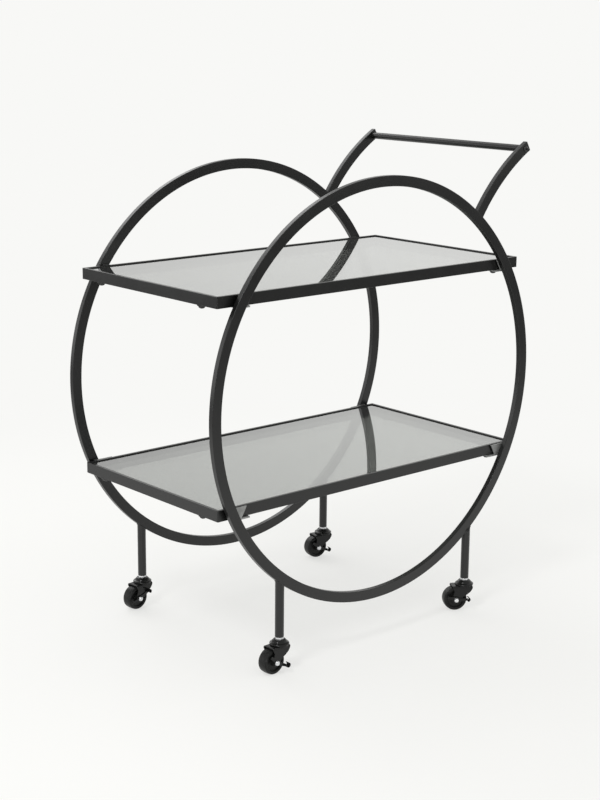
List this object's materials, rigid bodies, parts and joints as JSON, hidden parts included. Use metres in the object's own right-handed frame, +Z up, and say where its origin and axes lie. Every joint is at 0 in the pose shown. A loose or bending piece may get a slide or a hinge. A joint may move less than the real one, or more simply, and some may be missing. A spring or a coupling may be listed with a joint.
{
  "type": "serving cart",
  "caption": "Serving cart with two upright ring frames, two smoked glass shelves, a push handle and swivel casters with side brakes.",
  "frame": {"origin": "on the floor under the centre of the cart, midway between the two rings", "axes": "+Z up, +X towards the push handle, -Y towards the front ring, rings parallel to the XZ plane"},
  "size_m": [0.77, 0.4542, 0.8936],
  "materials": {
    "powder_black": "matte black powder coat",
    "black_screws": "black oxide",
    "zinc_plate": "bright zinc plate",
    "bracket_steel": "dull zinc-plated sheet",
    "smoked_glass": "smoked tempered glass",
    "clear_rubber": "translucent soft pads",
    "caster_black": "glossy black enamel",
    "wheel_black": "satin black nylon",
    "lever_black": "glossy black enamel"
  },
  "bodies": {
    "cart": {"front_ring": "powder_black", "rear_ring": "powder_black", "front_left_leg": "powder_black", "front_right_leg": "powder_black", "rear_left_leg": "powder_black", "rear_right_leg": "powder_black", "leg_inserts": "zinc_plate", "front_handle_arm": "powder_black", "rear_handle_arm": "powder_black", "handle_bar": "powder_black", "handle_screws": "black_screws", "upper_shelf_frame": "powder_black", "lower_shelf_frame": "powder_black", "upper_glass": "smoked_glass", "lower_glass": "smoked_glass", "upper_glass_pads": "clear_rubber", "lower_glass_pads": "clear_rubber", "upper_brackets": "bracket_steel", "lower_brackets": "bracket_steel", "upper_bracket_bolts": "black_screws", "lower_bracket_bolts": "black_screws", "upper_end_bolts": "black_screws", "lower_end_bolts": "black_screws", "end_washers": "black_screws", "front_left_stem": "zinc_plate", "front_right_stem": "zinc_plate", "rear_left_stem": "zinc_plate", "rear_right_stem": "zinc_plate", "front_left_race": "caster_black", "front_right_race": "caster_black", "rear_left_race": "caster_black", "rear_right_race": "caster_black"},
    "front_left_swivel": {"front_left_fork": "caster_black", "front_left_axle": "zinc_plate"},
    "front_left_roller": {"front_left_wheel": "wheel_black"},
    "front_left_brake": {"front_left_lever": "lever_black"},
    "front_right_swivel": {"front_right_fork": "caster_black", "front_right_axle": "zinc_plate"},
    "front_right_roller": {"front_right_wheel": "wheel_black"},
    "front_right_brake": {"front_right_lever": "lever_black"},
    "rear_left_swivel": {"rear_left_fork": "caster_black", "rear_left_axle": "zinc_plate"},
    "rear_left_roller": {"rear_left_wheel": "wheel_black"},
    "rear_left_brake": {"rear_left_lever": "lever_black"},
    "rear_right_swivel": {"rear_right_fork": "caster_black", "rear_right_axle": "zinc_plate"},
    "rear_right_roller": {"rear_right_wheel": "wheel_black"},
    "rear_right_brake": {"rear_right_lever": "lever_black"}
  },
  "joints": [
    {"name": "front_left_swivel_turn", "type": "hinge", "parent": "cart", "child": "front_left_swivel", "pos_m": [-0.235, -0.205, 0.05], "axis": [0, 0, 1], "continuous": true},
    {"name": "front_left_wheel_spin", "type": "hinge", "parent": "front_left_swivel", "child": "front_left_roller", "pos_m": [-0.25399, -0.20566, 0.023], "axis": [-0.0349, 0.9994, 0], "continuous": true},
    {"name": "front_left_brake_press", "type": "hinge", "parent": "front_left_swivel", "child": "front_left_brake", "pos_m": [-0.25399, -0.20566, 0.023], "axis": [0.0349, -0.9994, 0], "range_deg": [-2, 53]},
    {"name": "front_right_swivel_turn", "type": "hinge", "parent": "cart", "child": "front_right_swivel", "pos_m": [0.235, -0.205, 0.05], "axis": [0, 0, 1], "continuous": true},
    {"name": "front_right_wheel_spin", "type": "hinge", "parent": "front_right_swivel", "child": "front_right_roller", "pos_m": [0.21855, -0.1955, 0.023], "axis": [0.5, 0.866, 0], "continuous": true},
    {"name": "front_right_brake_press", "type": "hinge", "parent": "front_right_swivel", "child": "front_right_brake", "pos_m": [0.21855, -0.1955, 0.023], "axis": [-0.5, -0.866, 0], "range_deg": [-27, 28]},
    {"name": "rear_left_swivel_turn", "type": "hinge", "parent": "cart", "child": "rear_left_swivel", "pos_m": [-0.235, 0.205, 0.05], "axis": [0, 0, 1], "continuous": true},
    {"name": "rear_left_wheel_spin", "type": "hinge", "parent": "rear_left_swivel", "child": "rear_left_roller", "pos_m": [-0.2539, 0.20301, 0.023], "axis": [-0.1045, 0.9945, 0], "continuous": true},
    {"name": "rear_left_brake_press", "type": "hinge", "parent": "rear_left_swivel", "child": "rear_left_brake", "pos_m": [-0.2539, 0.20301, 0.023], "axis": [0.1045, -0.9945, 0], "range_deg": [-55, 0]},
    {"name": "rear_right_swivel_turn", "type": "hinge", "parent": "cart", "child": "rear_right_swivel", "pos_m": [0.235, 0.205, 0.05], "axis": [0, 0, 1], "continuous": true},
    {"name": "rear_right_wheel_spin", "type": "hinge", "parent": "rear_right_swivel", "child": "rear_right_roller", "pos_m": [0.21629, 0.2083, 0.023], "axis": [0.1736, 0.9848, 0], "continuous": true},
    {"name": "rear_right_brake_press", "type": "hinge", "parent": "rear_right_swivel", "child": "rear_right_brake", "pos_m": [0.21629, 0.2083, 0.023], "axis": [-0.1736, -0.9848, 0], "range_deg": [-7, 48]}
  ]
}
